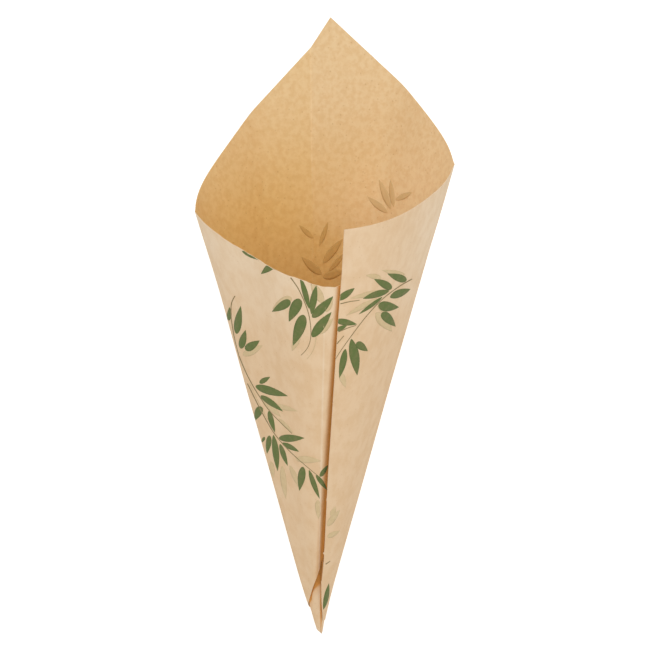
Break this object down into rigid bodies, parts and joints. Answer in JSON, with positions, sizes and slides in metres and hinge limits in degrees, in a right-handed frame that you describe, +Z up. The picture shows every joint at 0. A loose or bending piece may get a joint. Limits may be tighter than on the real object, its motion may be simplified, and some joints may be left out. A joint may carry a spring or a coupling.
{
  "type": "paper cone bag",
  "caption": "Cone-shaped bag rolled from one sheet of kraft paper and glued along a lap, with a high pointed back, an open mouth and a sage green leaf-sprig print",
  "frame": {"origin": "on the floor under the middle of the cone's bounding box, as it lies on its back", "axes": "+Z up from the floor, +Y toward the mouth and its pointed peak, -Y toward the tip, +X toward the side that the flap comes from"},
  "size_m": [0.0996, 0.2584, 0.0934],
  "materials": {
    "kraft_paper": "uncoated light brown kraft paper, matte, paler on the printed outside than inside"
  },
  "bodies": {
    "root": {"paper_cone": "kraft_paper"}
  },
  "joints": []
}
